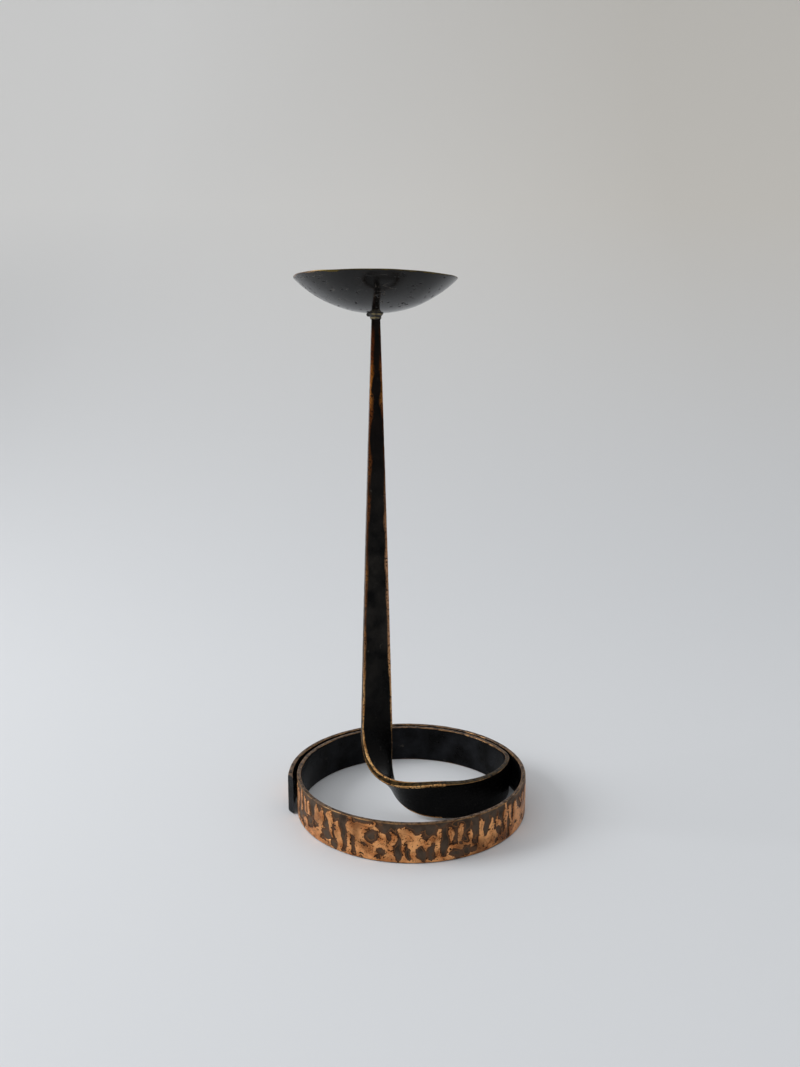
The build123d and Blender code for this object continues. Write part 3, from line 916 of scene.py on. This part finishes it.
rim_metal = add(tree, "ShaderNodeMix", (pinkish, "#554826", "#8F745C"), data_type="RGBA")
colour = "#0B0A09"
for layer, paint in ((cloud, "#171513"), (ridges, "#544E46"), (scars, "#070605"), (bare, rim_metal)):
    colour = add(tree, "ShaderNodeMix", (layer, colour, paint), data_type="RGBA")
gloss = add(tree, "ShaderNodeMapRange", {"Value": scratches, "To Min": MIRROR, "To Max": HAZE})
gloss = add(tree, "ShaderNodeMath", (scars, SCAR_GLOSS, gloss), operation="MULTIPLY_ADD")
height = 0.0
for layer, rise in ((scratches, 0.05), (scars, -0.15)):
    height = add(tree, "ShaderNodeMath", (layer, rise, height), operation="MULTIPLY_ADD")
bump = add(tree, "ShaderNodeBump", {"Height": height, "Distance": MM, "Strength": SHEET_BUMP})
surface = coat(tree, colour, bare, gloss, bump)
surface["Specular IOR Level"].default_value = SHEET_SPECULAR
bowl_piece.data.materials.append(bowl_finish)
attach(bowl_piece, "root")
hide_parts("drip_bowl")
print("bowl finish:", len(tree.nodes), "nodes")

# %% [markdown]
# ## The pricket
# The spike stands in the middle of the bowl on a small collar. It was filed to a point, so it is not
# a bare cone: the collar's corner is rounded, the shank swells a little at its foot, and the point
# starts with a soft shoulder. It is turned from a profile like the bowl, with fewer points round.
# The steel went brown in spots. A noise mixes grey and brown and takes the shine off the brown.

# %% Shape the pricket
COLLAR_RADIUS, COLLAR_HEIGHT, SPIKE_RADIUS, SHANK, POINT, TIP_RADIUS = 4.5, 1.4, 2.0, 8.5, 7.0, 0.3
SEAT_GAP, SWELL_HEIGHT, SHANK_STEPS, POINT_STEPS = 0.05, 0.9, 8, 10
SPIKE_POINTS, FILE_DEPTH, FILE_FLAT, FLAT_STRETCH = 64, 0.03, 0.9, 0.4
# Each rounding is a few steps out and up from its sharp corner, in millimetres.
COLLAR_BEVEL, COLLAR_CORNER = 0.3, ((0.0, -0.45), (-0.15, -0.15), (-0.5, 0.0))
SWELL, SHOULDER = ((0.7, 0.0), (0.25, 0.25)), ((-0.03, -0.2), (-0.12, 0.3))
SHANK_STOP, POINT_START, POINT_STOP, CROWN_SHARE, CROWN_FALL = 0.6, 0.1, 0.96, 0.7, 0.08
shoulder = COLLAR_HEIGHT + SHANK
tip = shoulder + POINT
collar = [(0, SEAT_GAP), (COLLAR_RADIUS - COLLAR_BEVEL, SEAT_GAP), (COLLAR_RADIUS, COLLAR_BEVEL)]
collar += [(COLLAR_RADIUS + outwards, COLLAR_HEIGHT + rise) for outwards, rise in COLLAR_CORNER]
swell = [(SPIKE_RADIUS + outwards, COLLAR_HEIGHT + rise) for outwards, rise in SWELL]
shank_low, shank_high = COLLAR_HEIGHT + SWELL_HEIGHT, shoulder - SHANK_STOP
shank = [
    (SPIKE_RADIUS, shank_low + (shank_high - shank_low) * i / SHANK_STEPS) for i in range(SHANK_STEPS + 1)
]
shank += [(SPIKE_RADIUS + outwards, shoulder + rise) for outwards, rise in SHOULDER]
filed_point = []
for i in range(1, POINT_STEPS + 1):
    narrowed, risen = (POINT_START + (stop - POINT_START) * i / POINT_STEPS for stop in (1.0, POINT_STOP))
    filed_point.append((SPIKE_RADIUS + (TIP_RADIUS - SPIKE_RADIUS) * narrowed, shoulder + POINT * risen))
filed_point += [(TIP_RADIUS * CROWN_SHARE, tip - CROWN_FALL), (0, tip)]


def filed(place):
    """Small flats from the file."""
    flat = noise.noise(Vector((place.x, place.y, place.z * FLAT_STRETCH)) * FILE_FLAT)
    grow = 1 + FILE_DEPTH * flat
    return Vector((place.x * grow, place.y * grow, place.z))


spike_foot = bowl_foot + UP * BOWL_WALL
spike_profile = collar + swell + shank + filed_point
spike_piece = turned_piece("candle_spike", spike_profile, spike_foot, filed, SPIKE_POINTS)
print("spike:", round(tip, 1), "mm tall,", len(spike_piece.data.vertices), "points")

# %% Spike finish
# Mild steel, filed, browned by heat and wax: to the eye a dull grey that turns to dark brown in spots.
spike_finish = new_finish("browned_mild_steel")
tree = spike_finish.node_tree
# The file's marks are drawn about twice as coarse as real ones, so that they show.
RUST_SIZE, RUST_LEVELS = 2.5, (0.42, 0.62)
FILE_SIZE, FILE_TURN, FILE_STRETCH = 0.5, (0.4, 0.2, 0.0), (0.3, 0.3, 1.0)
FILE_MARK_DEPTH, FILE_BUMP = 0.06, 0.6
point = piece_point(tree, Vector((0.0, 0.0, 0.0)))
rust = blotches(tree, point, RUST_SIZE, 5.0, RUST_LEVELS)
colour = add(tree, "ShaderNodeMix", (rust, "#6A645C", "#3A2A20"), data_type="RGBA")
marks = add(tree, "ShaderNodeMapping", {"Vector": point, "Rotation": FILE_TURN, "Scale": FILE_STRETCH})
marks = add(tree, "ShaderNodeTexNoise", {"Vector": marks, "Scale": 1 / FILE_SIZE, "Detail": 2.0})
metal, gloss = (
    add(tree, "ShaderNodeMapRange", {"Value": value, "To Min": first, "To Max": last})
    for value, first, last in ((rust, 1.0, 0.35), (marks, 0.3, 0.65))
)
bump = {"Height": marks, "Distance": FILE_MARK_DEPTH * MM, "Strength": FILE_BUMP}
bump = add(tree, "ShaderNodeBump", bump)
coat(tree, colour, metal, gloss, bump)
spike_piece.data.materials.append(spike_finish)
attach(spike_piece, "root")
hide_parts("pricket")
print("spike finish:", len(tree.nodes), "nodes")

# %% [markdown]
# ## The braze
# Brass was melted round the neck to hold the bowl. It ran into a collar with two soft rolls and froze
# with one round drop standing out on the left. Separate rings and balls would meet in sharp creases,
# so the rough forms are melted together by a voxel remesh and smoothed. The brass shows on the rolls,
# partly as its own colour and partly as a painted highlight along their crests, and flux and soot keep
# the rest dark, so the finish follows the wave of the rolls and a noise.

# %% Rough forms of the braze
NECK_RADIUS, ROLL_COUNT, ROLL_HEIGHT, ROLL_START = 2.5, 2, 0.18, 0.25
COLLAR_STEPS, COLLAR_POINTS = 24, 48
DROP_RADIUS, DROP_START, DROP_GROWTH, DROP_SAG, DROP_BALLS = 0.85, 0.8, 0.3, 0.15, 7
bead_low, bead_high = (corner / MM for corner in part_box("braze_bead"))
bead_height = bead_high.z - bead_low.z
bead_foot = Vector((bowl_axis.x, bowl_axis.y, bead_low.z))
bead_reach = bead_high.x - bowl_axis.x
bead_profile = [(0, 0.0)]
for i in range(COLLAR_STEPS + 1):
    share = i / COLLAR_STEPS
    flare = NECK_RADIUS + (bead_reach - NECK_RADIUS) * share**2
    roll = ROLL_HEIGHT * sin(2 * pi * (ROLL_COUNT * share - ROLL_START))
    bead_profile.append((flare + roll, bead_height * share))
bead_profile.append((0, bead_height))
bead_piece = turned_piece("braze_collar", bead_profile, bead_foot, points=COLLAR_POINTS)
drop_reach = bowl_axis.x - bead_low.x - DROP_RADIUS
shell = bmesh.new()
shell.from_mesh(bead_piece.data)
for i in range(DROP_BALLS):
    share = i / (DROP_BALLS - 1)
    rise = bead_height - DROP_RADIUS - DROP_SAG * sin(pi * share)
    place = (bead_foot + Vector((-drop_reach * share, 0.0, rise))) * MM
    radius = DROP_RADIUS * (DROP_START + DROP_GROWTH * share)
    ball = bmesh.ops.create_icosphere(shell, subdivisions=3, radius=radius * MM)
    bmesh.ops.translate(shell, verts=ball["verts"], vec=place)
shell.to_mesh(bead_piece.data)
shell.free()
print("braze:", DROP_BALLS, "balls run out", round(drop_reach, 1), "mm to the left")

# %% Melt the braze together
MELT_SIZE, SETTLE_SHARE, SETTLE_TIMES = 0.12, 0.5, 8
melt = bead_piece.modifiers.new("melt", "REMESH")
melt.mode, melt.voxel_size, melt.use_smooth_shade = "VOXEL", MELT_SIZE * MM, True
settle = bead_piece.modifiers.new("settle", "SMOOTH")
settle.factor, settle.iterations = SETTLE_SHARE, SETTLE_TIMES
graph = bpy.context.evaluated_depsgraph_get()
melted = bpy.data.meshes.new_from_object(bead_piece.evaluated_get(graph), depsgraph=graph)
bead_piece.modifiers.clear()
bead_piece.data = melted
print("braze:", len(melted.vertices), "points")

# %% Braze finish
# Yellow brass dulled by flux, black at the drop, and painted paler along the crests of the rolls as a
# highlight: to the eye a soft gleam on the rolls only.
braze_finish = new_finish("dull_braze_brass")
tree = braze_finish.node_tree
FLUX_SIZE, FLUX_LEVELS, FLUX_DEPTH, FLUX_BUMP, ROLL_PAINTED_HIGHLIGHT = 1.6, (0.32, 0.58), 0.08, 0.5, -0.16
SOOT, SOOT_BORDER = 0.5, 0.55
point = piece_point(tree, bead_foot)
rightwards, _, upwards = add(tree, "ShaderNodeSeparateXYZ", (point,)).node.outputs
flux = add(tree, "ShaderNodeTexNoise", {"Vector": point, "Scale": 1 / FLUX_SIZE, "Detail": 4.0})
soot_start, soot_stop = -bead_reach, -bead_reach * SOOT_BORDER
sooty = add(tree, "ShaderNodeMapRange", (rightwards, soot_start, soot_stop, SOOT, 0.0))
flux = add(tree, "ShaderNodeMath", (flux, sooty), operation="ADD")
# Along the crests of the rolls the flux is thinned, which paints brass colour there, partly as a painted
# highlight.
roll_turns = (upwards, 2 * pi * ROLL_COUNT / bead_height, -2 * pi * ROLL_START)
roll = add(tree, "ShaderNodeMath", roll_turns, operation="MULTIPLY_ADD")
roll = add(tree, "ShaderNodeMath", (roll,), operation="SINE")
flux = add(tree, "ShaderNodeMath", (roll, ROLL_PAINTED_HIGHLIGHT, flux), operation="MULTIPLY_ADD")
flux = add(tree, "ShaderNodeMapRange", (flux, *FLUX_LEVELS))
colour = add(tree, "ShaderNodeMix", (flux, "#7E7254", "#1B1711"), data_type="RGBA")
metal, gloss = (
    add(tree, "ShaderNodeMapRange", {"Value": flux, "To Min": first, "To Max": last})
    for first, last in ((1.0, 0.1), (0.3, 0.5))
)
bump = add(tree, "ShaderNodeBump", {"Height": flux, "Distance": FLUX_DEPTH * MM, "Strength": FLUX_BUMP})
coat(tree, colour, metal, gloss, bump)
melted.materials.append(braze_finish)
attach(bead_piece, "root")
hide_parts("braze_bead")
print("braze finish:", len(tree.nodes), "nodes")

# %% [markdown]
# ## Table, wall and light
# The holder stands on a pale sheet that rises into the wall without a corner, as photographers use.
# The light is soft: an even pale surround, brighter behind and to the left, and one large lamp panel
# on the left, which gives the soft shadow to the right of the foot.

# %% Pale sheet
# The sizes of the room are metres.
SHEET_HALF, SHEET_BACK, SHEET_BEND, SHEET_TOP, BEND_STEPS = 3.0, 0.3, 1.8, 3.0, 24
sheet_line = [(-SHEET_HALF, 0.0), (0.0, 0.0), (SHEET_BACK, 0.0)]
for i in range(1, BEND_STEPS + 1):
    turn = pi / 2 * i / BEND_STEPS
    sheet_line.append((SHEET_BACK + SHEET_BEND * sin(turn), SHEET_BEND * (1 - cos(turn))))
sheet_line.append((SHEET_BACK + SHEET_BEND, SHEET_TOP))
sheet_points = [(x, y, z) for x in (-SHEET_HALF, SHEET_HALF) for y, z in sheet_line]
count = len(sheet_line)
sheet_mesh = bpy.data.meshes.new("pale_sheet")
sheet_mesh.from_pydata(sheet_points, [], [(i, count + i, count + i + 1, i + 1) for i in range(count - 1)])
sheet_mesh.shade_smooth()
sheet = bpy.data.objects.new("pale_sheet", sheet_mesh)
scene.collection.objects.link(sheet)
print("sheet faces:", len(sheet_mesh.polygons))

# %% Card of the sheet
# Uncoated card: a pale grey with no gloss, painted lighter on the left and darker and warmer up on the right
# as painted light, and a cooler grey low down.
CARD_SPREAD, CARD_RISE, CARD_ROUGHNESS = 0.6, 0.6, 0.85
card = new_finish("pale_card")
tree = card.node_tree
place = add(tree, "ShaderNodeTexCoord", out="Object")
rightwards, _, upwards = add(tree, "ShaderNodeSeparateXYZ", (place,)).node.outputs
# Painted light on the wall: the card's colour runs from light on the left to darker on the right.
side_share = add(tree, "ShaderNodeMapRange", (rightwards, -CARD_SPREAD, CARD_SPREAD))
wall = add(tree, "ShaderNodeMix", (side_share, "#F2F2F1", "#DBD8D2"), data_type="RGBA")
risen = add(tree, "ShaderNodeMapRange", (upwards, 0.0, CARD_RISE))
colour = add(tree, "ShaderNodeMix", (risen, "#D6D9DD", wall), data_type="RGBA")
surface = tree.nodes["Principled BSDF"].inputs
surface["Roughness"].default_value = CARD_ROUGHNESS
tree.links.new(colour, surface["Base Color"])
sheet_mesh.materials.append(card)
print("card:", len(tree.nodes), "nodes")

# %% Soft surround and lamp panel
BRIGHT_SIDE, SURROUND = (-0.75, 0.4, 0.45), (-0.8, 0.8, 0.55, 0.85)
PANEL_PLACE, PANEL_AIM = Vector((-1.3, -0.1, 0.8)), Vector((0.0, 0.0, 0.1))
PANEL_SIZE, PANEL_POWER, PANEL_SPREAD = 0.7, 5.8, 120.0
world = bpy.data.worlds.new("soft_room")
scene.world = world
world.use_nodes = True
tree = world.node_tree
direction = add(tree, "ShaderNodeTexCoord", out="Generated")
towards = add(tree, "ShaderNodeVectorMath", (direction, BRIGHT_SIDE), operation="DOT_PRODUCT")
bright = add(tree, "ShaderNodeMapRange", (towards, *SURROUND), interpolation_type="SMOOTHSTEP")
background = tree.nodes["Background"]
background.inputs["Color"].default_value = linear("#FAFAFA")
tree.links.new(bright, background.inputs["Strength"])
panel_data = bpy.data.lights.new("lamp_panel", "AREA")
panel_data.size = PANEL_SIZE
panel_data.energy = PANEL_POWER
panel_data.spread = radians(PANEL_SPREAD)
panel = bpy.data.objects.new("lamp_panel", panel_data)
panel.location = PANEL_PLACE
panel.rotation_euler = (PANEL_AIM - PANEL_PLACE).to_track_quat("-Z", "Y").to_euler()
scene.collection.objects.link(panel)
scene.view_settings.view_transform = "Standard"
print("lamp panel of", PANEL_POWER, "W at", round(PANEL_PLACE.length, 2), "m")

# %% [markdown]
# ## Camera
# The camera stands a little left of the middle, 22 cm above the table and 44 cm in front, and looks
# down by ten degrees. It is level, so its place and tilt come from the ellipses of bowl and foot.

# %% Camera
CAMERA_PLACE, CAMERA_PITCH = Vector((-3.73, -439.47, 220.75)), 9.854
FOCAL_PIXELS, FRAME_PIXELS, SENSOR_WIDTH = 890.0, 1067, 36.0
camera_data = bpy.data.cameras.new("camera")
camera_data.sensor_width = SENSOR_WIDTH
camera_data.lens = SENSOR_WIDTH * FOCAL_PIXELS / FRAME_PIXELS
camera = bpy.data.objects.new("camera", camera_data)
camera.location = CAMERA_PLACE * MM
camera.rotation_euler = (radians(90 - CAMERA_PITCH), 0.0, 0.0)
scene.collection.objects.link(camera)
scene.camera = camera
print("lens of", round(camera_data.lens, 1), "mm")
